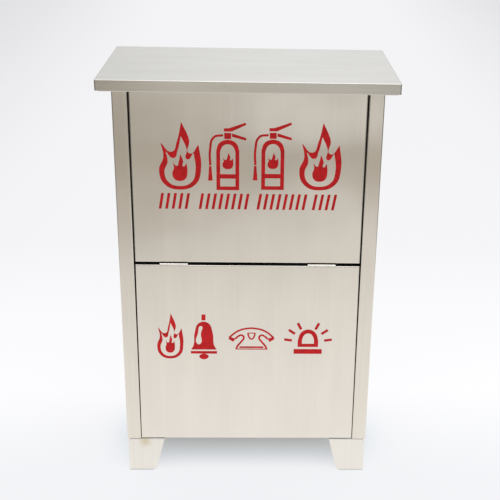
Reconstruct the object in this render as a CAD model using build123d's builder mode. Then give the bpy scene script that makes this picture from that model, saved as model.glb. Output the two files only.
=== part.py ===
# Floor-standing fire extinguisher cabinet folded from stainless sheet.
# The lid is hinged at the rear. The upper front flap is hinged at its lower
# edge to the fixed lower front panel, and folds forwards and down.
#
# Frame: millimetres, +Z up, the front faces -Y, +X is the viewer's right.
# The origin is on the floor, under the middle of the whole cabinet.
import os

from build123d import *

# Body
body_width = 350.0
body_depth = 198.0
overall_height = 589.5
sheet = 1.0
bend_inside = 0.5

# Side panels, each folded into a front stile and a rebate for the panels
stile_width = 20.0
stile_return = 20.0
rebate_width = 14.0
rear_flange = 16.0
top_flange = 12.0
top_flange_relief = 6.0

# Back and floor panels
back_edge_inset = 1.5
back_top_flange = 10.0
flange_notch_gap = 1.0
floor_flange = 15.0

# Lid, its lip hemmed at the front and the sides
lid_overhang = 18.0
lid_lip = 15.0
lid_rear_gap = 0.5
lid_corner_radius = 1.6
lid_bend_outside = 1.2
hem_height = 8.0
hem_gap = 0.2
hem_end_gap = 1.5

# Front panels: the fixed one is a little wider at its foot than at its top
flap_side_gap = 1.8
panel_top_gap = 1.8
panel_foot_side_gap = 0.6
panel_foot_gap = 0.6
panel_mid_gap = 4.1
panel_joint_height = 333.3
flap_lid_overlap = 2.5
corner_slit = 0.4

# Feet
foot_height = 54.0
foot_seat_gap = 1.1
foot_top_width = 53.0
foot_bottom_width = 40.0
foot_tab_width = 26.0
foot_tab_height = 20.0
foot_fold = 9.0
foot_fold_relief = 1.0

# Butt hinges, the same pattern for the flap and for the lid
hinge_length = 38.0
hinge_edge_inset = 52.4
leaf_thickness = 0.7
leaf_corner_radius = 2.0
leaf_joggle_start = 0.5
leaf_joggle_end = 3.0
pin_radius = 0.75
pin_clearance = 0.05
middle_knuckle = 18.0
knuckle_end_gap = 0.25
flap_leaf_width = 15.0
flap_axis_proud = 1.0
lid_leaf_width = 12.5
back_leaf_width = 17.0
crank_start = 3.2
crank_run = 2.5

# Values worked out from the sizes above
bend_middle = bend_inside + sheet / 2
bend_outside = bend_inside + sheet
knuckle_radius = pin_radius + pin_clearance + leaf_thickness
half_width = body_width / 2
total_depth = lid_overhang + body_depth + lid_rear_gap + sheet + 2 * knuckle_radius
front_y = lid_overhang - total_depth / 2
back_y = front_y + body_depth
body_top = overall_height - sheet
body_height = body_top - foot_height
lip_bottom = overall_height - lid_lip
lid_back_y = back_y + lid_rear_gap + sheet
rebate_y = front_y + stile_return
opening_width = body_width - 2 * stile_width
flap_width = opening_width - 2 * flap_side_gap
panel_top = panel_joint_height - panel_mid_gap / 2
flap_bottom = panel_joint_height + panel_mid_gap / 2
flap_top = lip_bottom + flap_lid_overlap
hinge_reach = flap_width / 2 - hinge_edge_inset
hem_radius = sheet + hem_gap / 2
sides = (("left", -1), ("right", 1))

os.makedirs("parts", exist_ok=True)


def folded_section(*centreline):
    """Draw the section of a folded sheet along its centre line, in a sketch."""
    with BuildLine() as path:
        FilletPolyline(*centreline, radius=bend_middle)
    trace(path.line, line_width=sheet)


def folded_pan(bottom_width, top_width, bottom, top):
    """Make a front panel in a part: a face with four flanges folded back."""
    half_bottom, half_top = bottom_width / 2, top_width / 2
    with BuildSketch(Plane.XZ.offset(-front_y)) as face:
        with BuildLine():
            Polyline(
                (-half_bottom, bottom),
                (half_bottom, bottom),
                (half_top, top),
                (-half_top, top),
                close=True,
            )
        make_face()
    extrude(face.sketch, amount=-stile_return)
    fillet(faces().sort_by(Axis.Y)[0].edges(), radius=bend_outside)
    offset(amount=-sheet, openings=faces().sort_by(Axis.Y)[-1])
    # Open corners: the upper and lower flanges stop short of the side flanges
    for half, height in ((half_bottom, bottom), (half_top, top)):
        for _, sign in sides:
            with Locations((sign * (half - 1.5 * sheet), front_y + bend_outside, height)):
                Box(
                    corner_slit,
                    stile_return,
                    3 * sheet,
                    align=(Align.CENTER, Align.MIN, Align.CENTER),
                    mode=Mode.SUBTRACT,
                )


def hem_section(across, inwards):
    """Draw the section of a lip's hem: down, round and up inside the lip."""
    turn = hem_radius - sheet / 2
    outer = across + inwards * sheet / 2
    with BuildLine() as path:
        Line((outer, lip_bottom + 2 * hem_radius), (outer, lip_bottom + hem_radius))
        ThreePointArc(
            (outer, lip_bottom + hem_radius),
            (outer + inwards * turn, lip_bottom + hem_radius - turn),
            (outer + inwards * 2 * turn, lip_bottom + hem_radius),
        )
        Line(
            (outer + inwards * 2 * turn, lip_bottom + hem_radius),
            (outer + inwards * 2 * turn, lip_bottom + hem_height),
        )
    trace(path.line, line_width=sheet)


def hinge_leaf(knuckles, plate, axis_y, axis_z, centre_x, free_edges):
    """Make one leaf in a part: a plate in section with its rolled knuckles."""
    with BuildSketch(Plane.YZ.offset(centre_x - hinge_length / 2)) as section:
        with Locations((axis_y, axis_z)):
            Circle(knuckle_radius)
        with BuildLine():
            Polyline(*plate, close=True)
        make_face()
        with Locations((axis_y, axis_z)):
            Circle(pin_radius + pin_clearance, mode=Mode.SUBTRACT)
    extrude(section.sketch, amount=hinge_length)
    thickness_axis, reach_axis, end = free_edges
    fillet(
        edges().filter_by(thickness_axis).group_by(reach_axis)[end],
        radius=leaf_corner_radius,
    )
    cut = 2 * (knuckle_radius + knuckle_end_gap)
    if knuckles == "middle":
        spare = (hinge_length - middle_knuckle) / 2 + knuckle_end_gap
        places = [centre_x - hinge_length / 2, centre_x + hinge_length / 2]
        widths = [2 * spare, 2 * spare]
    else:
        places = [centre_x]
        widths = [middle_knuckle + 2 * knuckle_end_gap]
    for place, width in zip(places, widths):
        with Locations((place, axis_y, axis_z)):
            Box(width, cut, cut, mode=Mode.SUBTRACT)


def hinge_pin(axis_y, axis_z, centre_x):
    """Make a hinge pin in a part, as long as its hinge."""
    with BuildSketch(Plane.YZ.offset(centre_x - hinge_length / 2)) as section:
        with Locations((axis_y, axis_z)):
            Circle(pin_radius)
    extrude(section.sketch, amount=hinge_length)


# Side panels: rear flange, side wall, stile, return and rebate in one fold,
# with a top flange between relief notches, on which the lid rests
for side, sign in sides:
    wall_x = sign * (half_width - sheet / 2)
    stile_x = sign * (half_width - stile_width + sheet / 2)
    flange_y = back_y - 1.5 * sheet
    with BuildPart() as side_panel:
        with BuildSketch(Plane.XY.offset(foot_height)):
            folded_section(
                (sign * (half_width - rear_flange), flange_y),
                (wall_x, flange_y),
                (wall_x, front_y + sheet / 2),
                (stile_x, front_y + sheet / 2),
                (stile_x, rebate_y + sheet / 2),
                (stile_x - sign * rebate_width, rebate_y + sheet / 2),
            )
        extrude(amount=body_height)
        notch_start = front_y + bend_outside + top_flange_relief
        notch_length = body_depth - 2 * (bend_outside + top_flange_relief)
        with Locations((wall_x, notch_start, body_top)):
            Box(
                2 * bend_outside,
                notch_length,
                2 * bend_outside,
                align=(Align.CENTER, Align.MIN, Align.CENTER),
                mode=Mode.SUBTRACT,
            )
        with BuildSketch(Plane.XZ.offset(-notch_start)):
            folded_section(
                (wall_x, body_top - bend_outside - sheet),
                (wall_x, body_top - sheet / 2),
                (wall_x - sign * top_flange, body_top - sheet / 2),
            )
        extrude(amount=-notch_length)
    side_panel.part.label = side + "_side_panel"
    export_step(side_panel.part, "parts/" + side + "_side_panel.step")

# Back panel, outside the rear flanges, with its top edge folded inwards
with BuildPart() as back_panel:
    back_width = body_width - 2 * back_edge_inset
    with BuildSketch(Plane.YZ.offset(-back_width / 2)):
        folded_section(
            (back_y - sheet / 2, foot_height),
            (back_y - sheet / 2, body_top - sheet / 2),
            (back_y - back_top_flange, body_top - sheet / 2),
        )
    extrude(amount=back_width)
    # Corner notches, so that the folded edge passes between the rear flanges
    with Locations(*[(sign * half_width, back_y - sheet, body_top) for side, sign in sides]):
        Box(
            2 * (rear_flange + flange_notch_gap),
            2 * back_top_flange,
            2 * bend_outside,
            align=(Align.CENTER, Align.MAX, Align.CENTER),
            mode=Mode.SUBTRACT,
        )
back_panel.part.label = "back_panel"
export_step(back_panel.part, "parts/back_panel.step")

# Floor panel, a shallow tray held between the foot tabs and the rebates
with BuildPart() as floor_panel:
    floor_front_y = rebate_y + sheet
    with Locations((0, floor_front_y, foot_height)):
        Box(
            body_width - 4 * sheet,
            back_y - 2 * sheet - floor_front_y,
            floor_flange,
            align=(Align.CENTER, Align.MIN, Align.MIN),
        )
    fillet(floor_panel.faces().sort_by(Axis.Z)[0].edges(), radius=bend_outside)
    offset(amount=-sheet, openings=floor_panel.faces().sort_by(Axis.Z)[-1])
floor_panel.part.label = "floor_panel"
export_step(floor_panel.part, "parts/floor_panel.step")

# Lower front panel, a fixed pan against the rebates
with BuildPart() as lower_front_panel:
    folded_pan(
        opening_width - 2 * panel_foot_side_gap,
        opening_width - 2 * panel_top_gap,
        foot_height + panel_foot_gap,
        panel_top,
    )
lower_front_panel.part.label = "lower_front_panel"
export_step(lower_front_panel.part, "parts/lower_front_panel.step")

# Front flap, a pan like the lower panel, its top edge behind the lid's lip
with BuildPart() as front_flap:
    folded_pan(flap_width, flap_width, flap_bottom, flap_top)
front_flap.part.label = "front_flap"
export_step(front_flap.part, "parts/front_flap.step")

# Lid, a shallow tray turned down, over the front, the sides and the back
with BuildPart() as lid:
    lid_half = half_width + lid_overhang
    lid_front_y = front_y - lid_overhang
    lid_depth = lid_back_y - lid_front_y
    with Locations((0, lid_front_y, lip_bottom)):
        Box(2 * lid_half, lid_depth, lid_lip, align=(Align.CENTER, Align.MIN, Align.MIN))
    fillet(lid.edges().filter_by(Axis.Z), radius=lid_corner_radius)
    fillet(lid.faces().sort_by(Axis.Z)[-1].edges(), radius=lid_bend_outside)
    offset(amount=-sheet, openings=lid.faces().sort_by(Axis.Z)[0])
    # The lip is cut back for its hem, except at the rear
    with Locations((0, lid_front_y - sheet, lip_bottom - hem_radius)):
        Box(
            3 * lid_half,
            lid_depth,
            2 * hem_radius,
            align=(Align.CENTER, Align.MIN, Align.MIN),
            mode=Mode.SUBTRACT,
        )
    hem_inset = lid_corner_radius + sheet + hem_end_gap
    with BuildSketch(Plane.YZ.offset(-lid_half + hem_inset)):
        hem_section(lid_front_y, 1)
    extrude(amount=2 * (lid_half - hem_inset))
    for _, sign in sides:
        with BuildSketch(Plane.XZ.offset(-lid_front_y - hem_inset)):
            hem_section(sign * lid_half, -sign)
        extrude(amount=-(lid_depth - 2 * hem_inset))
lid.part.label = "lid"
export_step(lid.part, "parts/lid.step")

# Feet: an angle inside the line of the body, its free edges sloped, with a
# tab that runs up inside the side wall. The wall at the front or the rear is
# folded back along its top, from a relief notch beside the corner.
foot_top = foot_height - foot_seat_gap
for end, turn, corner_y in (("front", 1, front_y + sheet), ("rear", -1, back_y - sheet)):
    for side, sign in sides:
        corner_x = sign * (half_width - sheet)
        outer_x = corner_x - sign * sheet / 2
        outer_y = corner_y + turn * sheet / 2
        with BuildPart() as foot:
            with BuildSketch():
                folded_section(
                    (corner_x - sign * foot_top_width, outer_y),
                    (outer_x, outer_y),
                    (outer_x, corner_y + turn * foot_top_width),
                )
            extrude(amount=foot_height + foot_tab_height)
            # Top fold of the front or rear wall
            fold_near = corner_x - sign * (bend_outside + foot_fold_relief)
            fold_far = corner_x - sign * foot_top_width
            cut_x = corner_x - sign * (bend_outside + foot_top_width)
            with Locations((cut_x, outer_y, foot_top - 2 * bend_outside)):
                Box(
                    2 * foot_top_width,
                    3 * sheet,
                    2 * foot_height,
                    align=(Align.CENTER, Align.CENTER, Align.MIN),
                    mode=Mode.SUBTRACT,
                )
            with BuildSketch(Plane.YZ.offset(min(fold_near, fold_far))):
                folded_section(
                    (outer_y, foot_top - 3 * bend_outside),
                    (outer_y, foot_top - sheet / 2),
                    (corner_y + turn * foot_fold, foot_top - sheet / 2),
                )
            extrude(amount=abs(fold_near - fold_far))
            # Slope of the front or rear wall
            with BuildSketch(Plane.XZ.offset(-corner_y + turn * 2 * sheet)):
                with BuildLine():
                    Polyline(
                        (corner_x - sign * bend_outside, foot_height + foot_tab_height),
                        (corner_x - sign * bend_outside, foot_top),
                        (corner_x - sign * foot_top_width, foot_top),
                        (corner_x - sign * foot_bottom_width, 0),
                        (corner_x - sign * 2 * foot_top_width, 0),
                        (corner_x - sign * 2 * foot_top_width, foot_height + foot_tab_height),
                        close=True,
                    )
                make_face()
            extrude(amount=-turn * 5 * sheet, mode=Mode.SUBTRACT)
            # Slope of the side wall, and its tab
            tab_near = corner_y + turn * (foot_top_width - foot_tab_width)
            side_plane = Plane.YZ.offset(corner_x + sign * 2 * sheet)
            with BuildSketch(side_plane):
                with BuildLine():
                    Polyline(
                        (corner_y + turn * foot_top_width, foot_height + foot_tab_height),
                        (corner_y + turn * foot_top_width, foot_top),
                        (corner_y + turn * foot_bottom_width, 0),
                        (corner_y + turn * 2 * foot_top_width, 0),
                        (corner_y + turn * 2 * foot_top_width, foot_height + foot_tab_height),
                        close=True,
                    )
                make_face()
            extrude(amount=-sign * 5 * sheet, mode=Mode.SUBTRACT)
            with BuildSketch(side_plane):
                with BuildLine():
                    Polyline(
                        (corner_y - turn * sheet, foot_top),
                        (tab_near, foot_top),
                        (tab_near, foot_height + foot_tab_height),
                        (corner_y - turn * sheet, foot_height + foot_tab_height),
                        close=True,
                    )
                make_face()
            extrude(amount=-sign * 5 * sheet, mode=Mode.SUBTRACT)
        foot.part.label = "foot_" + end + "_" + side
        export_step(foot.part, "parts/foot_" + end + "_" + side + ".step")

# Flap hinges: leaves laid on the folded edges that face each other in the
# gap, the knuckles low in the gap and just proud of the front. The upper leaf
# is joggled up to the flap, the lower one runs straight on the fixed panel.
flap_axis_y = front_y - flap_axis_proud
flap_axis_z = panel_top + knuckle_radius
leaf_end_y = front_y + flap_leaf_width
for side, sign in sides:
    centre_x = sign * hinge_reach
    for leaf, outward, knuckles in (("upper", 1, "middle"), ("lower", -1, "outer")):
        leaf_face = panel_joint_height + outward * panel_mid_gap / 2
        leaf_inner = leaf_face - outward * leaf_thickness
        knuckle_face = flap_axis_z + outward * knuckle_radius
        knuckle_inner = knuckle_face - outward * leaf_thickness
        with BuildPart() as flap_leaf:
            plate = (
                (flap_axis_y, knuckle_face),
                (flap_axis_y + leaf_joggle_start, knuckle_face),
                (flap_axis_y + leaf_joggle_end, leaf_face),
                (leaf_end_y, leaf_face),
                (leaf_end_y, leaf_inner),
                (flap_axis_y + leaf_joggle_end, leaf_inner),
                (flap_axis_y + leaf_joggle_start, knuckle_inner),
                (flap_axis_y, knuckle_inner),
            )
            far_end = (Axis.Z, Axis.Y, -1)
            hinge_leaf(knuckles, plate, flap_axis_y, flap_axis_z, centre_x, far_end)
        flap_leaf.part.label = "flap_hinge_" + side + "_" + leaf + "_leaf"
        export_step(flap_leaf.part, "parts/flap_hinge_" + side + "_" + leaf + "_leaf.step")
    with BuildPart() as flap_pin:
        hinge_pin(flap_axis_y, flap_axis_z, centre_x)
    flap_pin.part.label = "flap_hinge_" + side + "_pin"
    export_step(flap_pin.part, "parts/flap_hinge_" + side + "_pin.step")

# Lid hinges: one leaf on the lid's rear lip, the other cranked in to the back
lid_axis_y = lid_back_y + knuckle_radius
lid_axis_z = lip_bottom
for side, sign in sides:
    centre_x = sign * hinge_reach
    with BuildPart() as lid_leaf:
        plate = (
            (lid_back_y, lid_axis_z),
            (lid_back_y, lid_axis_z + lid_leaf_width),
            (lid_back_y + leaf_thickness, lid_axis_z + lid_leaf_width),
            (lid_back_y + leaf_thickness, lid_axis_z),
        )
        top_end = (Axis.Y, Axis.Z, -1)
        hinge_leaf("middle", plate, lid_axis_y, lid_axis_z, centre_x, top_end)
    lid_leaf.part.label = "lid_hinge_" + side + "_lid_leaf"
    export_step(lid_leaf.part, "parts/lid_hinge_" + side + "_lid_leaf.step")
    with BuildPart() as back_leaf:
        plate = (
            (lid_back_y, lid_axis_z),
            (lid_back_y, lid_axis_z - crank_start),
            (back_y, lid_axis_z - crank_start - crank_run),
            (back_y, lid_axis_z - back_leaf_width),
            (back_y + leaf_thickness, lid_axis_z - back_leaf_width),
            (back_y + leaf_thickness, lid_axis_z - crank_start - crank_run),
            (lid_back_y + leaf_thickness, lid_axis_z - crank_start),
            (lid_back_y + leaf_thickness, lid_axis_z),
        )
        low_end = (Axis.Y, Axis.Z, 0)
        hinge_leaf("outer", plate, lid_axis_y, lid_axis_z, centre_x, low_end)
    back_leaf.part.label = "lid_hinge_" + side + "_back_leaf"
    export_step(back_leaf.part, "parts/lid_hinge_" + side + "_back_leaf.step")
    with BuildPart() as lid_pin:
        hinge_pin(lid_axis_y, lid_axis_z, centre_x)
    lid_pin.part.label = "lid_hinge_" + side + "_pin"
    export_step(lid_pin.part, "parts/lid_hinge_" + side + "_pin.step")

print("front plane y", round(front_y, 3), "back y", round(back_y, 3))
print("flap axis", round(flap_axis_y, 3), round(flap_axis_z, 3))
print("lid axis", round(lid_axis_y, 3), lid_axis_z)
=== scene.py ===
import math

import bmesh
import bpy
from mathutils import Matrix, Vector


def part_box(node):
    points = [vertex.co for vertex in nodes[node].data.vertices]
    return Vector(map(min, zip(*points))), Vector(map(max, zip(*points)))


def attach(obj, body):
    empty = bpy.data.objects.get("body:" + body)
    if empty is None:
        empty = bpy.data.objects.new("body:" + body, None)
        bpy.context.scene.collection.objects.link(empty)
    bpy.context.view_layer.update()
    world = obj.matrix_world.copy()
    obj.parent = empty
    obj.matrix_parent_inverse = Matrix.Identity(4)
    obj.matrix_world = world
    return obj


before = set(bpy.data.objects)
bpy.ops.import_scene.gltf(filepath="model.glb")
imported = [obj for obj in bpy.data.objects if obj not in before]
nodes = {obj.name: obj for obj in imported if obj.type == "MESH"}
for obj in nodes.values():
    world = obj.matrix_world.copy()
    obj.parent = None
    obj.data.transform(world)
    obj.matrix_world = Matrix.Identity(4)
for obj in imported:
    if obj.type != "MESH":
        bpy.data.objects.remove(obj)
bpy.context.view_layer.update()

# A fire extinguisher cabinet of brushed stainless sheet in a white studio. Its seams get black
# pieces as painted shade, its front red enamel marks and its lid's hinges rivets. Metres, in the
# frame's own axes.
MM = 0.001

# Planes of the cabinet that the rest is placed by
front_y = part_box("lower_front_panel")[0].y
back_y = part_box("back_panel")[1].y
depth_middle = (front_y + back_y) / 2
half_depth = depth_middle - front_y
flap_low, flap_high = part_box("front_flap")
panel_low, panel_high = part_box("lower_front_panel")

# Options of the nodes that are used most
COLOURS = {"data_type": "RGBA"}
MULTIPLIED = {"data_type": "RGBA", "blend_type": "MULTIPLY"}
SMOOTH = {"interpolation_type": "SMOOTHSTEP"}


def deselect_all():
    """Leave nothing selected, so that the next operator acts on its own piece."""
    if bpy.context.object and bpy.context.object.mode != "OBJECT":
        bpy.ops.object.mode_set(mode="OBJECT")
    bpy.ops.object.select_all(action="DESELECT")


def linear(hex_colour):
    """Turn an sRGB hex colour such as C8161D to linear RGBA."""
    channels = [int(hex_colour[i:i + 2], 16) / 255 for i in (0, 2, 4)]
    return [c / 12.92 if c <= 0.04045 else ((c + 0.055) / 1.055) ** 2.4 for c in channels] + [1.0]


def add_node(tree, kind, settings=None, inputs=None):
    """Add a node: settings are its own options, inputs are values, sockets or the nodes that feed it."""
    new = tree.nodes.new(kind)
    for name, value in (settings or {}).items():
        setattr(new, name, value)
    for name, value in (inputs or {}).items():
        if isinstance(value, bpy.types.Node):
            value = next(socket for socket in value.outputs if socket.enabled)
        if isinstance(value, bpy.types.NodeSocket):
            tree.links.new(value, new.inputs[name])
        else:
            new.inputs[name].default_value = value
    return new


def new_material(name):
    """Make an empty node material and return it with its tree."""
    material = bpy.data.materials.new(name)
    material.use_nodes = True
    material.node_tree.nodes.clear()
    return material, material.node_tree


def set_ramp(ramp, stops):
    """Set a colour ramp's stops from (place, linear colour) pairs."""
    while len(ramp.elements) > 1:
        ramp.elements.remove(ramp.elements[-1])
    ramp.elements[0].position, ramp.elements[0].color = stops[0]
    for place, colour in stops[1:]:
        ramp.elements.new(place).color = colour


def distance_from(tree, value, centre):
    """How far a value lies from a centre, on either side."""
    off = add_node(tree, "ShaderNodeMath", {"operation": "SUBTRACT"}, {0: value, 1: centre})
    return add_node(tree, "ShaderNodeMath", {"operation": "ABSOLUTE"}, {0: off})


# Stainless sheet, satin brushed: long fine scratches in one direction, which spread its
# reflections across them and keep them clear along them
GRAIN_ACROSS = 1.1 * MM      # real scratches are about 0.1 mm apart, too fine to show
GRAIN_ALONG = 70 * MM
STREAK_ACROSS = 4.5 * MM     # the wider streaks that a belt leaves
STREAK_ALONG = 240 * MM
PATCH_ACROSS = 25 * MM       # where the belt was pressed harder, or wiped
PATCH_ALONG = 110 * MM
CLOUD_SIZE = 90 * MM         # soft unevenness of a thin rolled sheet
ROUGHNESS_PLAY = 0.02
PAINTED_BEND_HIGHLIGHT = "FDFCFA"          # painted highlight on a bend
PAINTED_JOINT_SHADE = "6A6258"        # painted shade deep in a joint


def brush_pattern(tree, place, brush_axis, across, along, detail, roughness=0.5):
    """Noise drawn out along the brush: across and along are the size of its marks."""
    scale = [1 / across] * 3
    scale["XYZ".index(brush_axis)] = 1 / along
    drawn_out = add_node(tree, "ShaderNodeMapping", inputs={
        "Vector": place.outputs["Object"], "Scale": scale})
    return add_node(tree, "ShaderNodeTexNoise", inputs={
        "Vector": drawn_out, "Scale": 1.0, "Detail": detail, "Roughness": roughness})


def by_joint(tree, place, sheet, painted_shade_above, plain_below):
    """The sheet's colour by height: plain, then a painted highlight on its bend, then painted shade in the
    joint.
    """
    apart = add_node(tree, "ShaderNodeSeparateXYZ", inputs={"Vector": place.outputs["Object"]})
    height = add_node(tree, "ShaderNodeMapRange", inputs={
        "Value": apart.outputs["Z"], "From Min": plain_below, "From Max": painted_shade_above})
    colours = add_node(tree, "ShaderNodeValToRGB", inputs={"Fac": height})
    set_ramp(colours.color_ramp, [(0.0, sheet), (0.3, linear(PAINTED_BEND_HIGHLIGHT)), (0.85, linear(PAINTED_BEND_HIGHLIGHT)),
                                  (1.0, linear(PAINTED_JOINT_SHADE))])
    return colours


def brushed_stainless(name, colour, brush_axis, roughness, spread, contrast=0.04, waviness=2.5,
                      patches=0.01, joint=None):
    """Satin brushed stainless sheet.

    Spread is how much wider its reflections are across the scratches, contrast that of the
    streaks, waviness the height of the soft waves in mm and patches how much the tone changes
    from place to place. A joint is the height where painted shade begins and the one where the bend, which
    gets a painted highlight, ends.
    """
    material, tree = new_material(name)
    place = add_node(tree, "ShaderNodeTexCoord")
    grain = brush_pattern(tree, place, brush_axis, GRAIN_ACROSS, GRAIN_ALONG, 4.0, 0.6)
    streaks = brush_pattern(tree, place, brush_axis, STREAK_ACROSS, STREAK_ALONG, 4.0, 0.6)
    patch = brush_pattern(tree, place, brush_axis, PATCH_ACROSS, PATCH_ALONG, 0.5)
    cloud = add_node(tree, "ShaderNodeTexNoise", inputs={
        "Vector": place.outputs["Object"], "Scale": 1 / CLOUD_SIZE, "Detail": 0.5})
    both = add_node(tree, "ShaderNodeMath", {"operation": "ADD"}, {0: grain, 1: streaks})
    tone = add_node(tree, "ShaderNodeMapRange", inputs={
        "Value": both, "From Min": 0.6, "From Max": 1.4,
        "To Min": 1 - contrast, "To Max": 1 + contrast / 2})
    pressed = add_node(tree, "ShaderNodeMapRange", inputs={
        "Value": patch, "From Min": 0.3, "From Max": 0.7,
        "To Min": 1 - patches, "To Max": 1 + patches})
    shade = add_node(tree, "ShaderNodeMath", {"operation": "MULTIPLY"}, {0: tone, 1: pressed})
    sheet = linear(colour)
    if joint:
        sheet = by_joint(tree, place, sheet, *joint)
    tint = add_node(tree, "ShaderNodeMix", MULTIPLIED, {"Factor": 1.0, "A": sheet, "B": shade})
    rough = add_node(tree, "ShaderNodeMapRange", inputs={
        "Value": cloud, "From Min": 0.35, "From Max": 0.65,
        "To Min": roughness - ROUGHNESS_PLAY, "To Max": roughness + ROUGHNESS_PLAY})
    scratches = add_node(tree, "ShaderNodeBump", inputs={
        "Height": grain, "Strength": 0.12, "Distance": 0.02 * MM})
    waves = add_node(tree, "ShaderNodeBump", inputs={
        "Height": cloud, "Strength": 0.35, "Distance": waviness * MM, "Normal": scratches})
    across = add_node(tree, "ShaderNodeTangent", {"direction_type": "RADIAL", "axis": brush_axis})
    steel = add_node(tree, "ShaderNodeBsdfPrincipled", inputs={
        "Base Color": tint, "Metallic": 1.0, "Anisotropic": spread, "Roughness": rough,
        "Normal": waves, "Tangent": across})
    add_node(tree, "ShaderNodeOutputMaterial", inputs={"Surface": steel})
    return material


def tinted_round(material, place, reach, colour):
    """Tint a steel sheet's colour towards a faint colour round a place, fading out at a reach."""
    tree = material.node_tree
    steel = tree.nodes["Principled BSDF"]
    untinted = steel.inputs["Base Color"].links[0].from_socket
    where = add_node(tree, "ShaderNodeTexCoord")
    away = add_node(tree, "ShaderNodeVectorMath", {"operation": "DISTANCE"}, {
        0: where.outputs["Object"], 1: place})
    near_place = add_node(tree, "ShaderNodeMapRange", SMOOTH, {
        "Value": away.outputs["Value"], "From Min": reach, "From Max": 0.0, "To Max": 0.8})
    tinted = add_node(tree, "ShaderNodeMix", COLOURS, {"Factor": near_place, "A": untinted, "B": linear(colour)})
    tree.links.new(tinted.outputs["Result"], steel.inputs["Base Color"])


# Each sheet's finish. The front is the thinnest and reflects a little unevenly, the lid is
# brushed from side to side, and the back is plainer. The inside keeps its mill finish and is
# duller. Hinges are rolled, not brushed, so that their knuckles have clear highlights. The feet's
# bends get a painted highlight under the walls and painted shade in the joint, and so do the flap's knuckles.
FOOT_JOINT = 53 * MM
TINT_PLACE = (-149.5 * MM, -91.3 * MM, 48 * MM)   # below the end of the left seam
knuckle_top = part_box("flap_hinge_left_lower_leaf")[1].z
steel_front = brushed_stainless("brushed_stainless_front", "EDE9E2", "Z", 0.2, 0.9, 0.03, 5, 0.016)
steel_side = brushed_stainless("brushed_stainless_side", "EBE6DE", "Z", 0.21, 0.9, 0.055)
steel_back = brushed_stainless("brushed_stainless_back", "DDDCD9", "Z", 0.21, 0.9, 0.03, patches=0.006)
steel_lid = brushed_stainless("brushed_stainless_lid", "E1DFDA", "X", 0.22, 0.75, 0.065, 3, 0.02)
steel_inside = brushed_stainless("brushed_stainless_inside", "D2CDC4", "Z", 0.4, 0.5)
steel_hinge = brushed_stainless("bright_rolled_steel", "DCD8D0", "X", 0.22, 0.3)
# the feet's bends and the flap's knuckles get a painted highlight, and painted shade in the joint above
steel_feet = brushed_stainless("brushed_stainless_feet", "F0EDE8", "Z", 0.24, 0.6,
                               joint=(FOOT_JOINT, FOOT_JOINT - 2 * MM))
steel_flap_hinge = brushed_stainless("bright_rolled_steel_flap", "FCF8F4", "X", 0.25, 0.3,
                                     joint=(knuckle_top + 0.1 * MM, knuckle_top - 1.5 * MM))
tinted_round(steel_feet, TINT_PLACE, 13 * MM, "D8CBAE")

# by the start of a node's name, the first that fits
FINISHES = (("flap_hinge", steel_flap_hinge), ("lid_hinge", steel_hinge), ("lid", steel_lid),
            ("front_flap", steel_front), ("lower_front_panel", steel_front),
            ("left_side_panel", steel_side), ("right_side_panel", steel_side),
            ("back_panel", steel_back), ("floor_panel", steel_inside), ("foot", steel_feet))

for name, node in nodes.items():
    node.data.materials.clear()
    node.data.materials.append(next(finish for start, finish in FINISHES if name.startswith(start)))


def red_enamel(name, thin, full):
    """Screen-printed enamel: an opaque red film with little shine, thin in places and so uneven in tone."""
    material, tree = new_material(name)
    place = add_node(tree, "ShaderNodeTexCoord")
    speckle = add_node(tree, "ShaderNodeTexNoise", inputs={
        "Vector": place.outputs["Object"], "Scale": 1 / (6 * MM), "Detail": 3.0})
    tone = add_node(tree, "ShaderNodeValToRGB", inputs={"Fac": speckle})
    set_ramp(tone.color_ramp, [(0.35, linear(full)), (0.65, linear(thin))])
    film = add_node(tree, "ShaderNodeBump", inputs={
        "Height": speckle, "Strength": 0.2, "Distance": 0.1 * MM})
    enamel = add_node(tree, "ShaderNodeBsdfPrincipled", inputs={
        "Base Color": tone, "Roughness": 0.45, "Specular IOR Level": 0.2, "Normal": film})
    add_node(tree, "ShaderNodeOutputMaterial", inputs={"Surface": enamel})
    return material


def seam_shade_material():
    """A dull black sheet with a fine grain, put deep in the seams as painted shade, so that a seam reads as a
    dark line.
    """
    material, tree = new_material("painted_seam_shade_black")
    place = add_node(tree, "ShaderNodeTexCoord")
    grain = add_node(tree, "ShaderNodeTexNoise", inputs={
        "Vector": place.outputs["Object"], "Scale": 1 / (0.8 * MM), "Detail": 2.0})
    skin = add_node(tree, "ShaderNodeBump", inputs={
        "Height": grain, "Strength": 0.3, "Distance": 0.05 * MM})
    rubber = add_node(tree, "ShaderNodeBsdfPrincipled", inputs={
        "Base Color": linear("080808"), "Roughness": 0.9, "Normal": skin})
    add_node(tree, "ShaderNodeOutputMaterial", inputs={"Surface": rubber})
    return material


# Marks: generic pictograms in millimetres, from the middle of their lower edge. A smooth
# point is rounded and a corner is sharp.
FILM = 0.15 * MM             # a real print is about 0.03 mm thick, too thin to stand clear of the panel
FILM_SUNK = 0.1 * FILM
RED = {"flap": red_enamel("red_enamel_deep", "B80E14", "A4080E"),
       "cabinet": red_enamel("red_enamel_bright", "C8181E", "B41117")}


def smooth(across, up):
    return (across, up, "AUTO")


def corner(across, up):
    return (across, up, "VECTOR")


def mirrored_path(half):
    """Carry on a path, drawn from left to middle, to its mirror image on the right."""
    return half + [(-across, up, kind) for across, up, kind in reversed(half)]


def resized(outline, wide, high, lift=0.0):
    return [(across * wide, up * high + lift, kind) for across, up, kind in outline]


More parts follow.
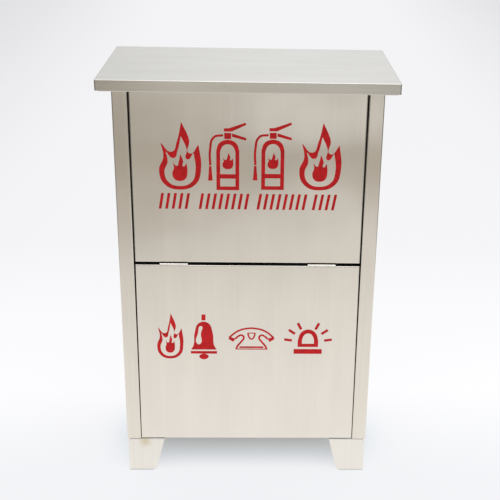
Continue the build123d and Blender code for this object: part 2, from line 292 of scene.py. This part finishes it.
def new_curve(paths, closed, flat):
    """Draw paths as one Bezier curve object, flat and filled or to be swept by a brush."""
    deselect_all()
    bpy.ops.curve.primitive_bezier_curve_add()
    drawn = bpy.context.object
    drawn.data.splines.clear()
    drawn.data.dimensions = "2D" if flat else "3D"
    drawn.data.resolution_u = 10
    for path in paths:
        spline = drawn.data.splines.new("BEZIER")
        spline.bezier_points.add(len(path) - 1)
        for point, (across, up, kind) in zip(spline.bezier_points, path):
            point.co = (across * MM, up * MM, 0)
            point.handle_left_type = point.handle_right_type = kind
        spline.use_cyclic_u = closed
    return drawn


def filled(outlines):
    """A film filled between outlines: one inside another is left open."""
    drawn = new_curve(outlines, True, True)
    drawn.data.fill_mode = "BOTH"
    drawn.data.extrude = FILM / 2
    bpy.ops.object.convert(target="MESH")
    return bpy.context.object


def brushed(paths, width, closed=False):
    """A line of a brush's width along each path, pressed flat to the film's thickness."""
    drawn = new_curve(paths, closed, False)
    drawn.data.bevel_depth = width * MM / 2
    drawn.data.bevel_resolution = 2
    drawn.data.use_fill_caps = True
    bpy.ops.object.convert(target="MESH")
    line = bpy.context.object
    line.scale = (1, 1, FILM / (width * MM))
    bpy.ops.object.transform_apply(location=False, rotation=False, scale=True)
    return line


def mark(name, body, middle, foot, films):
    """Join films to one mark and lay it on the front, its foot at a height in mm."""
    deselect_all()
    for film in films:
        film.select_set(True)
    bpy.context.view_layer.objects.active = films[0]
    if len(films) > 1:
        bpy.ops.object.join()
    piece = bpy.context.object
    piece.name = piece.data.name = name
    piece.rotation_euler = (math.radians(90), 0, 0)
    piece.location = (middle * MM, front_y - FILM / 2 + FILM_SUNK, foot * MM)
    bpy.ops.object.transform_apply(location=True, rotation=True, scale=True)
    piece.data.materials.clear()
    piece.data.materials.append(RED[body])
    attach(piece, body)


FLAME = [smooth(0, 0), smooth(-20, 7), smooth(-27, 27), smooth(-21, 45), corner(-24, 64),
         smooth(-10, 52), smooth(-3, 66), corner(3, 92), smooth(13, 68), smooth(13, 50),
         corner(25, 62), smooth(28, 30), smooth(21, 8)]


def flame(wide=1.0, high=1.0):
    whole = resized(FLAME, wide, high)
    hollow = resized(FLAME, 0.74 * wide, 0.74 * high, 5 * high)
    heart = resized(FLAME, 0.36 * wide, 0.4 * high, 12 * high)
    return [filled([whole, hollow, heart])]


def extinguisher():
    shell = mirrored_path([corner(-15, 0), corner(-15, 54), smooth(-12, 63), smooth(-5, 68)])
    hollow = mirrored_path([corner(-10, 5), corner(-10, 52), smooth(-8, 58), smooth(-4, 62)])
    band = [corner(-10, 16), corner(10, 16), corner(10, 22), corner(-10, 22)]
    heart = resized(FLAME, 0.26, 0.24, 29)
    valve = [corner(-4.5, 70), corner(4.5, 70), corner(4.5, 78), corner(-4.5, 78)]
    grip = [corner(5.5, 73), corner(24, 68), corner(24, 71.5), corner(5.5, 77.5)]
    lever = [corner(-5, 80), corner(5, 80), corner(24, 89), corner(23, 92), corner(2, 84.5), corner(-5, 84)]
    hose = [smooth(-6, 75), smooth(-18, 72), smooth(-23, 55), smooth(-23, 34)]
    nozzle = [corner(-26, 13), corner(-20, 13), corner(-21.5, 33), corner(-24.5, 33)]
    head = filled([valve, grip, lever, nozzle])
    return [filled([shell, hollow, heart]), head, filled([band]), brushed([hose], 3)]


def bell():
    body = mirrored_path([corner(-18, 15), smooth(-14.5, 22), smooth(-12.5, 42), smooth(-6, 57)])
    shine = [smooth(-9, 24), smooth(-8, 41), smooth(-3.5, 52), smooth(-4, 40), smooth(-5, 24)]
    crown = mirrored_path([corner(-2.8, 61), corner(-2.8, 70)])
    rim = mirrored_path([corner(-18.5, 8.5), corner(-18.5, 12.5)])
    clapper = mirrored_path([smooth(-6.5, 5), smooth(-4, 0.5)])
    return [filled([body, shine]), filled([crown, rim, clapper])]


def telephone():
    """The common pictogram: a handset on its cradle, in outline."""
    handset = mirrored_path([smooth(-31.5, 19), smooth(-20, 28.8), smooth(-8, 33.2)])
    cradle = mirrored_path([smooth(-23, 17), smooth(-18.5, 21.3), smooth(-14, 23), smooth(-10.8, 19.5),
                            smooth(-14.5, 12.5), smooth(-19.5, 6), corner(-21.5, 1)])
    dial = mirrored_path([corner(-5, 26.3), smooth(-3.6, 20.5), smooth(-0.8, 17)])
    base_line = [corner(-17, 4), corner(17, 4)]
    end = [corner(-32.5, 17), corner(-30.2, 20.3), corner(-22.8, 17.4), corner(-25.4, 12.4)]
    ends = [[(sign * across, up, kind) for across, up, kind in end] for sign in (-1, 1)]
    return [brushed([handset, cradle, base_line], 2.6), brushed([dial], 2.2, True), filled(ends)]


def beacon():
    dome = mirrored_path([corner(-14.5, 12), corner(-14.5, 22), smooth(-10.5, 34), smooth(-3.5, 39)])
    hollow = mirrored_path([corner(-8.5, 17), corner(-8.5, 23), smooth(-6, 30), smooth(-2.5, 33)])
    foot = mirrored_path([corner(-20, 1), corner(-20, 8.5)])
    rays = []
    for turn in (8, 36, 64, 116, 144, 172):
        along = (math.cos(math.radians(turn)), math.sin(math.radians(turn)))
        rays.append([corner(along[0] * reach, 19 + along[1] * reach) for reach in (23, 34)])
    return [filled([dome, hollow]), filled([foot]), brushed(rays, 3.8)]


def slanted_stripes():
    """A caption band of slanted stripes, in four groups."""
    stripes = []
    for start, count in ((-119, 5), (-66, 8), (11, 8), (85, 4)):
        for step in range(count):
            left = start + 8.6 * step
            stripes.append([corner(left, 1), corner(left + 3.7, 1), corner(left + 7.5, 23),
                            corner(left + 3.8, 23)])
    return [filled(stripes)]


mark("mark_flame_left", "flap", -90, 440, flame())
mark("mark_extinguisher_left", "flap", -27, 440, extinguisher())
mark("mark_extinguisher_right", "flap", 32, 441, extinguisher())
mark("mark_flame_right", "flap", 94, 441, flame())
mark("mark_stripe_band", "flap", 0, 412, slanted_stripes())
mark("mark_small_flame", "cabinet", -109, 187, flame(0.67, 0.77))
mark("mark_bell", "cabinet", -61.5, 186.5, bell())
mark("mark_telephone", "cabinet", 5.6, 201.6, telephone())
mark("mark_beacon", "cabinet", 85.5, 194.5, beacon())


# Painted shade deep in the seams, as black pieces: one in each side seam of the flap and the
# panel, the panel's tapering with its seam, and a strip on the panel's top fold beside the hinges
SEAM_SHADE = seam_shade_material()
SEAM = 1.8 * MM
SHADE_FRONT = 2.2 * MM        # how far the black shade pieces lie behind the front
SHADE_BACK = 18.5 * MM
SHADE_CLEARANCE = 0.3 * MM
SHADE_TRIM = 1.05 * MM        # how much the panel's seam narrows towards its foot
STRIP_THICKNESS = 0.9 * MM
STRIP_BACK = 11.5 * MM
STRIP_END_GAP = 0.5 * MM


def shade_block(name, low, high, foot_trim=0.0):
    """A black piece of painted shade between two corners, its inner edge trimmed towards the foot, its edges
    rounded.
    """
    deselect_all()
    size = [high[i] - low[i] for i in range(3)]
    bpy.ops.mesh.primitive_cube_add(size=1, location=[(high[i] + low[i]) / 2 for i in range(3)], scale=size)
    piece = bpy.context.object
    piece.name = piece.data.name = name
    bpy.ops.object.transform_apply(location=True, rotation=True, scale=True)
    middle = (low[0] + high[0]) / 2
    for vertex in piece.data.vertices:
        if vertex.co.z < (low[2] + high[2]) / 2 and abs(vertex.co.x) < abs(middle):
            vertex.co.x += math.copysign(foot_trim, middle)
    rounding = piece.modifiers.new("rounding", "BEVEL")
    rounding.width = 0.15 * min(size[0], size[2])
    rounding.segments = 2
    bpy.ops.object.modifier_apply(modifier=rounding.name)
    bpy.ops.object.shade_smooth_by_angle(angle=math.radians(40))
    piece.data.materials.append(SEAM_SHADE)
    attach(piece, "cabinet")


shade_inner = flap_high.x + SHADE_CLEARANCE
shade_outer = flap_high.x + SEAM - 0.05 * MM
for side, sign in (("left", -1), ("right", 1)):
    near, far = sorted((sign * shade_inner, sign * shade_outer))
    shade_block(f"flap_seam_shade_{side}", (near, front_y + SHADE_FRONT, flap_low.z + 1 * MM),
         (far, front_y + SHADE_BACK, flap_high.z - 1 * MM))
    shade_block(f"panel_seam_shade_{side}", (near, front_y + SHADE_FRONT, panel_low.z + 1 * MM),
         (far, front_y + SHADE_BACK, panel_high.z), foot_trim=SHADE_TRIM)

hinge_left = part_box("flap_hinge_left_lower_leaf")
hinge_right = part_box("flap_hinge_right_lower_leaf")
strip_edge = panel_high.x - 1.5 * MM
STRIPS = (("left", -strip_edge, hinge_left[0].x), ("middle", hinge_left[1].x, hinge_right[0].x),
          ("right", hinge_right[1].x, strip_edge))
for part, start, end in STRIPS:
    shade_block(f"panel_top_seam_shade_{part}", (start + STRIP_END_GAP, front_y + SHADE_FRONT, panel_high.z),
         (end - STRIP_END_GAP, front_y + STRIP_BACK, panel_high.z + STRIP_THICKNESS))


# Blind rivets through the leaves of the lid's hinges, at the rear. Each row lies on the flat
# plate of its leaf: the lid leaf's above its lower edge, the back leaf's below its upper one.
RIVET_RADIUS = 2.4 * MM
RIVET_HEIGHT = 0.9 * MM
RIVET_HALF_PITCH = 11 * MM
RIVET_FOOT = 0.68 * MM       # above the sheet: a little sunk in the 0.7 mm leaf
LID_ROW = 8.7 * MM
BACK_ROW = 12.9 * MM


def select_top_face(piece):
    """In edit mode, select only the highest face of a piece."""
    mesh = bmesh.from_edit_mesh(piece.data)
    highest = max(mesh.faces, key=lambda face: face.calc_center_median().z)
    for face in mesh.faces:
        face.select_set(face is highest)
    mesh.select_flush_mode()
    bmesh.update_edit_mesh(piece.data)


def rivet_head():
    """A domed rivet head with the small hole that its mandrel leaves, facing up."""
    deselect_all()
    bpy.ops.mesh.primitive_cylinder_add(vertices=32, radius=RIVET_RADIUS, depth=RIVET_HEIGHT,
                                        location=(0, 0, RIVET_HEIGHT / 2))
    head = bpy.context.object
    bpy.ops.object.transform_apply(location=True, rotation=True, scale=True)
    bpy.ops.object.mode_set(mode="EDIT")
    bpy.ops.mesh.select_mode(type="FACE")
    select_top_face(head)
    bpy.ops.mesh.bevel(offset=0.75 * RIVET_HEIGHT, segments=4, affect="EDGES")
    select_top_face(head)
    bpy.ops.mesh.inset(thickness=0.28 * RIVET_RADIUS)
    bpy.ops.mesh.extrude_region_move(TRANSFORM_OT_translate={"value": (0, 0, -0.35 * RIVET_HEIGHT)})
    bpy.ops.object.mode_set(mode="OBJECT")
    bpy.ops.object.shade_smooth_by_angle(angle=math.radians(50))
    head.data.materials.append(steel_hinge)
    return head


def rivet(name, head, body, place):
    """A copy of the rivet head with its own mesh, turned to face the rear."""
    copy = head.copy()
    copy.data = head.data.copy()
    copy.name = copy.data.name = name
    bpy.context.collection.objects.link(copy)
    deselect_all()
    copy.select_set(True)
    bpy.context.view_layer.objects.active = copy
    copy.rotation_euler = (math.radians(-90), 0, 0)
    copy.location = place
    bpy.ops.object.transform_apply(location=True, rotation=True, scale=True)
    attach(copy, body)


head = rivet_head()
for side, outwards in (("left", -RIVET_HALF_PITCH), ("right", RIVET_HALF_PITCH)):
    lid_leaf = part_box(f"lid_hinge_{side}_lid_leaf")
    back_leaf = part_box(f"lid_hinge_{side}_back_leaf")
    middle = (lid_leaf[0].x + lid_leaf[1].x) / 2
    for leaf, body, sheet_y, row_z in (("lid_leaf", "lid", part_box("lid")[1].y, lid_leaf[0].z + LID_ROW),
                                       ("back_leaf", "cabinet", back_y, back_leaf[1].z - BACK_ROW)):
        for end, across in (("outer", outwards), ("inner", -outwards)):
            rivet(f"rivet_{side}_{leaf}_{end}", head, body, (middle + across, sheet_y + RIVET_FOOT, row_z))
bpy.data.objects.remove(head)


# How the steel mirrors the floor, before and behind the cabinet alike: metres away, and how pale
# it is there. It is pale by the cabinet and dim farther off, and on the right a bright thing
# stands on it.
PALE_FLOOR = "FCFAF7"
DIM_FLOOR = "B5AEA3"
MIRRORED_LEFT = ((4.0, 0.2), (2.3, 0.0), (1.3, 0.0), (0.6, 0.6), (0.0, 1.0))
MIRRORED_RIGHT = ((4.0, 0.1), (2.7, 0.2), (2.3, 0.9), (1.85, 0.8), (1.7, 0.0), (1.45, 0.0),
                  (1.2, 0.5), (0.6, 0.7), (0.0, 1.0))
MIRRORED_REACH = 4.0
LEFT_ENDS, RIGHT_BEGINS = -0.42, 0.4
DARK_BEGINS, DARK_WHOLE, DARK_LEVEL = 0.65, 1.1, 0.3     # the room's own floor, at the sides

# A pale thing far in front that the lid's lip mirrors. Its bearing and its half width are
# metres aside for each metre from the camera's own mirror image behind the front.
PALE = "FFFAF0"
PALE_FROM = 2.2
PALE_FADE = 0.5
PALE_BEARING = -0.081
PALE_HALF_WIDTH = 0.072
CAMERA_AWAY = 1.25

# The floor as the camera sees it, from in front of the cabinet to far behind: it is brightest
# a little to the right and fades from there
SEEN_BEGINS, SEEN_ENDS = -0.4, 5.6
SEEN = ((0.0, "F0F1F4"), (0.05, "F2F3F6"), (0.09, "FCFCFE"), (0.2, "F3F3F5"), (0.5, "F3F3F5"),
        (1.0, "F4F4F7"))
BRIGHTEST_X = 0.1
FADE_BEGINS, FADE_ENDS, FADE_LEVEL = 0.5, 1.6, 0.84

# Its white is mostly its own, so that shadows on it stay pale, apart from the one under the body
OWN_WHITE = 0.85
UNDER_BODY, UNDER_EDGE = 0.1, 0.9
SHADE_HALF_WIDTH, SHADE_FADE = 0.13, 0.11
SHADE_TINT = "F7FCFF"

# A painted contact shadow where the feet touch the floor: a line as wide as a front foot, and its blur
FOOT_HALF_WIDTH = 17.3 * MM
FOOT_MIDDLE_INSET = 18.3 * MM
TOUCH_HALF_DEPTH = 0.5 * MM
BLUR_ASIDE = 1.5 * MM
BLUR_DEEP = 2 * MM
CONTACT_SHADOW_LEVEL = 0.7


def floor_tone(share):
    """A colour between the dim floor and the pale one."""
    return [dim + share * (pale - dim) for dim, pale in zip(linear(DIM_FLOOR), linear(PALE_FLOOR))]


def mirrored_floor(tree, apart, aside, from_middle):
    """The floor's colour as the steel mirrors it."""
    near = add_node(tree, "ShaderNodeMapRange", inputs={
        "Value": from_middle, "From Min": half_depth + MIRRORED_REACH, "From Max": half_depth})
    sides = []
    for stops in (MIRRORED_LEFT, MIRRORED_RIGHT):
        ramp = add_node(tree, "ShaderNodeValToRGB", inputs={"Fac": near})
        set_ramp(ramp.color_ramp, [(1 - away / MIRRORED_REACH, floor_tone(share)) for away, share in stops])
        sides.append(ramp)
    across = add_node(tree, "ShaderNodeMapRange", SMOOTH, {
        "Value": apart.outputs["X"], "From Min": LEFT_ENDS, "From Max": RIGHT_BEGINS})
    white = add_node(tree, "ShaderNodeMix", COLOURS, {"Factor": across, "A": sides[0], "B": sides[1]})
    pale_y = front_y - PALE_FROM
    ahead = add_node(tree, "ShaderNodeMapRange", SMOOTH, {
        "Value": apart.outputs["Y"], "From Min": pale_y, "From Max": pale_y - PALE_FADE})
    from_camera = add_node(tree, "ShaderNodeMath", {"operation": "SUBTRACT"}, {
        0: front_y + CAMERA_AWAY, 1: apart.outputs["Y"]})
    bearing = add_node(tree, "ShaderNodeMath", {"operation": "DIVIDE"}, {
        0: apart.outputs["X"], 1: from_camera})
    pale = add_node(tree, "ShaderNodeMapRange", SMOOTH, {
        "Value": distance_from(tree, bearing, PALE_BEARING), "From Min": PALE_HALF_WIDTH, "From Max": 0.0,
        "To Max": ahead})
    brightened = add_node(tree, "ShaderNodeMix", COLOURS, {"Factor": pale, "A": white, "B": linear(PALE)})
    # the room's dark floor beside the white one, which outlines every bend in the steel
    beside = add_node(tree, "ShaderNodeMapRange", SMOOTH, {
        "Value": aside, "From Min": DARK_BEGINS, "From Max": DARK_WHOLE, "To Min": 1.0, "To Max": DARK_LEVEL})
    return add_node(tree, "ShaderNodeMix", MULTIPLIED, {"Factor": 1.0, "A": brightened, "B": beside})


def contact_shadow_mask(tree, aside, from_middle):
    """Mask of the painted contact shadow: nought where a foot's edge touches the floor, one elsewhere."""
    foot_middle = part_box("foot_front_right")[1].x - FOOT_MIDDLE_INSET
    measures = []
    for value, edge, reach, blur in ((from_middle, half_depth, TOUCH_HALF_DEPTH, BLUR_DEEP),
                                     (aside, foot_middle, FOOT_HALF_WIDTH, BLUR_ASIDE)):
        measures.append(add_node(tree, "ShaderNodeMapRange", SMOOTH, {
            "Value": distance_from(tree, value, edge), "From Min": reach, "From Max": reach + blur}))
    return add_node(tree, "ShaderNodeMath", {"operation": "MAXIMUM"}, {0: measures[0], 1: measures[1]})


def seen_floor(tree, apart, aside, from_middle):
    """The floor as the camera sees it: its colour, with a painted contact shadow along the feet's edges, and
    the share of it that needs no light.
    """
    back = add_node(tree, "ShaderNodeMapRange", inputs={
        "Value": apart.outputs["Y"], "From Min": SEEN_BEGINS, "From Max": SEEN_ENDS})
    lit = add_node(tree, "ShaderNodeValToRGB", inputs={"Fac": back})
    set_ramp(lit.color_ramp, [(place, linear(colour)) for place, colour in SEEN])
    fade = add_node(tree, "ShaderNodeMapRange", SMOOTH, {
        "Value": distance_from(tree, apart.outputs["X"], BRIGHTEST_X),
        "From Min": FADE_BEGINS, "From Max": FADE_ENDS, "To Min": 1.0, "To Max": FADE_LEVEL})
    open_floor = add_node(tree, "ShaderNodeMix", MULTIPLIED, {"Factor": 1.0, "A": lit, "B": fade})
    under = add_node(tree, "ShaderNodeMapRange", inputs={
        "Value": from_middle, "From Min": 10 * MM, "From Max": 100 * MM,
        "To Min": UNDER_BODY, "To Max": UNDER_EDGE})
    outside = add_node(tree, "ShaderNodeMapRange", SMOOTH, {
        "Value": aside, "From Min": SHADE_HALF_WIDTH, "From Max": SHADE_HALF_WIDTH + SHADE_FADE,
        "To Min": under, "To Max": OWN_WHITE})
    shaded = add_node(tree, "ShaderNodeMapRange", inputs={
        "Value": outside, "From Min": OWN_WHITE, "From Max": 0.5})
    cool = add_node(tree, "ShaderNodeMix", MULTIPLIED, {
        "Factor": shaded, "A": open_floor, "B": linear(SHADE_TINT)})
    contact = contact_shadow_mask(tree, aside, from_middle)
    # a painted contact shadow: the seen floor darker along the feet's edges
    line = add_node(tree, "ShaderNodeMapRange", inputs={"Value": contact, "To Min": CONTACT_SHADOW_LEVEL})
    contact_shadowed = add_node(tree, "ShaderNodeMix", MULTIPLIED, {"Factor": 1.0, "A": cool, "B": line})
    own_white = add_node(tree, "ShaderNodeMath", {"operation": "MULTIPLY"}, {0: outside, 1: contact})
    return contact_shadowed, own_white


def studio_floor():
    """A white floor: plain to the camera, with the room's tones in the steel."""
    deselect_all()
    bpy.ops.mesh.primitive_plane_add(size=60, location=(0, 0, 0))
    floor = bpy.context.object
    floor.name = "studio_floor"
    material, tree = new_material("studio_floor")
    place = add_node(tree, "ShaderNodeTexCoord")
    rays = add_node(tree, "ShaderNodeLightPath")
    apart = add_node(tree, "ShaderNodeSeparateXYZ", inputs={"Vector": place.outputs["Object"]})
    aside = distance_from(tree, apart.outputs["X"], 0.0)
    from_middle = distance_from(tree, apart.outputs["Y"], depth_middle)
    seen, own_white = seen_floor(tree, apart, aside, from_middle)
    plain = add_node(tree, "ShaderNodeMix", COLOURS, {
        "Factor": rays.outputs["Is Glossy Ray"], "A": linear("F0F0F0"),
        "B": mirrored_floor(tree, apart, aside, from_middle)})
    colour = add_node(tree, "ShaderNodeMix", COLOURS, {
        "Factor": rays.outputs["Is Camera Ray"], "A": plain, "B": seen})
    paper = add_node(tree, "ShaderNodeBsdfDiffuse", inputs={"Color": colour})
    shine = add_node(tree, "ShaderNodeEmission", inputs={"Color": colour})
    by_camera = add_node(tree, "ShaderNodeMath", {"operation": "MULTIPLY"}, {
        0: rays.outputs["Is Camera Ray"], 1: own_white})
    by_gloss = add_node(tree, "ShaderNodeMath", {"operation": "MULTIPLY_ADD"}, {
        0: rays.outputs["Is Glossy Ray"], 1: OWN_WHITE, 2: by_camera})
    surface = add_node(tree, "ShaderNodeMixShader", inputs={0: by_gloss, 1: paper, 2: shine})
    add_node(tree, "ShaderNodeOutputMaterial", inputs={"Surface": surface})
    floor.data.materials.append(material)


# The room as it lights the scene, and as the steel mirrors it: its walls from the front to the
# back, the ceiling's level and the height of view at which the ceiling begins
LIT_ROOM = (((0.0, (0.48, 0.45, 0.41, 1)), (0.4, (0.66, 0.64, 0.61, 1)),
             (0.75, (0.88, 0.88, 0.88, 1)), (1.0, (0.93, 0.94, 0.95, 1))), 1.35, 0.55)
MIRRORED_ROOM = (((0.0, (0.3, 0.28, 0.25, 1)), (0.4, (0.5, 0.48, 0.46, 1)),
                  (0.75, (0.92, 0.92, 0.92, 1)), (1.0, (0.99, 1.0, 1.01, 1))), 0.97, 0.72)
CEILING_WHOLE = 0.96
WINDOW_X = 0.05              # the mirrored room is bright ahead and behind, and dim at the sides
BESIDE_WINDOW = ((0.0, (1, 1, 1, 1)), (0.1, (0.97, 0.97, 0.965, 1)), (0.2, (0.87, 0.87, 0.86, 1)),
                 (0.35, (0.6, 0.6, 0.6, 1)), (0.55, (0.5, 0.5, 0.5, 1)))
SKIRTING_BELOW, SKIRTING_FADE, SKIRTING_LEVEL = 0.1, 0.16, 0.82
SEEN_WALL = "E6E7EA"


def studio_world():
    """A pale room with a bright ceiling. In the steel it is dimmer in front, low down and at the sides."""
    world = bpy.data.worlds.new("studio_room")
    bpy.context.scene.world = world
    world.use_nodes = True
    tree = world.node_tree
    tree.nodes.clear()
    place = add_node(tree, "ShaderNodeTexCoord")
    rays = add_node(tree, "ShaderNodeLightPath")
    apart = add_node(tree, "ShaderNodeSeparateXYZ", inputs={"Vector": place.outputs["Generated"]})
    back = add_node(tree, "ShaderNodeMapRange", inputs={
        "Value": apart.outputs["Y"], "From Min": -1.0, "From Max": 1.0})
    beside = add_node(tree, "ShaderNodeValToRGB", inputs={
        "Fac": distance_from(tree, apart.outputs["X"], WINDOW_X)})
    set_ramp(beside.color_ramp, BESIDE_WINDOW)
    low = add_node(tree, "ShaderNodeMapRange", SMOOTH, {
        "Value": apart.outputs["Z"], "From Min": SKIRTING_BELOW, "From Max": SKIRTING_BELOW + SKIRTING_FADE,
        "To Min": SKIRTING_LEVEL, "To Max": 1.0})
    rooms = []
    for walls, ceiling_level, ceiling_start in (LIT_ROOM, MIRRORED_ROOM):
        wall = add_node(tree, "ShaderNodeValToRGB", inputs={"Fac": back})
        set_ramp(wall.color_ramp, walls)
        if rooms:
            dimmed = add_node(tree, "ShaderNodeMix", MULTIPLIED, {"Factor": 1.0, "A": wall, "B": beside})
            wall = add_node(tree, "ShaderNodeMix", MULTIPLIED, {"Factor": 1.0, "A": dimmed, "B": low})
        up = add_node(tree, "ShaderNodeMapRange", SMOOTH, {
            "Value": apart.outputs["Z"], "From Min": ceiling_start, "From Max": CEILING_WHOLE})
        rooms.append(add_node(tree, "ShaderNodeMix", COLOURS, {
            "Factor": up, "A": wall, "B": [ceiling_level] * 3 + [1]}))
    lit, mirrored = rooms
    unseen = add_node(tree, "ShaderNodeMix", COLOURS, {
        "Factor": rays.outputs["Is Glossy Ray"], "A": lit, "B": mirrored})
    colour = add_node(tree, "ShaderNodeMix", COLOURS, {
        "Factor": rays.outputs["Is Camera Ray"], "A": unseen, "B": linear(SEEN_WALL)})
    light = add_node(tree, "ShaderNodeBackground", inputs={"Color": colour, "Strength": 1.0})
    add_node(tree, "ShaderNodeOutputWorld", inputs={"Surface": light})


def softbox(name, place, aim, size, watts):
    """A square soft lamp at a place, turned to its aim."""
    deselect_all()
    bpy.ops.object.light_add(type="AREA", location=place)
    lamp = bpy.context.object
    lamp.name = name
    lamp.data.shape = "SQUARE"
    lamp.data.size = size
    lamp.data.energy = watts
    lamp.rotation_euler = (Vector(aim) - Vector(place)).to_track_quat("-Z", "Y").to_euler()


studio_floor()
studio_world()
softbox("lamp_above", place=(0.5, -1.0, 2.6), aim=(0, 0, 0.3), size=3.2, watts=30)

# The camera, matched to the photograph. Pixels are those of its 500 by 500 picture.
PICTURE = 500
FOCAL_LENGTH = 992.3         # pixels
AXIS_COLUMN = 290.0          # pixels: the picture was cut off centre
PITCH, YAW, ROLL = (math.radians(a) for a in (22.414, 2.124, 1.312))
CAMERA_PLACE = (10.9 * MM, front_y - 1246.7 * MM, 869.5 * MM)
SENSOR = 36                  # millimetres


def photo_camera():
    """Place the camera where the photograph's stood, looking down at the cabinet."""
    deselect_all()
    bpy.ops.object.camera_add(location=CAMERA_PLACE)
    camera = bpy.context.object
    camera.name = "photo_camera"
    camera.data.sensor_width = SENSOR
    camera.data.lens = FOCAL_LENGTH / PICTURE * SENSOR
    camera.data.shift_x = (PICTURE / 2 - AXIS_COLUMN) / PICTURE
    forward = Vector((math.sin(YAW) * math.cos(PITCH), math.cos(YAW) * math.cos(PITCH), -math.sin(PITCH)))
    level = Vector((math.cos(YAW), -math.sin(YAW), 0))
    upright = level.cross(forward)
    right = level * math.cos(ROLL) + upright * math.sin(ROLL)
    up = upright * math.cos(ROLL) - level * math.sin(ROLL)
    camera.rotation_mode = "QUATERNION"
    camera.rotation_quaternion = Matrix((right, up, -forward)).transposed().to_quaternion()
    bpy.context.scene.camera = camera


photo_camera()
bpy.context.scene.view_settings.view_transform = "Standard"
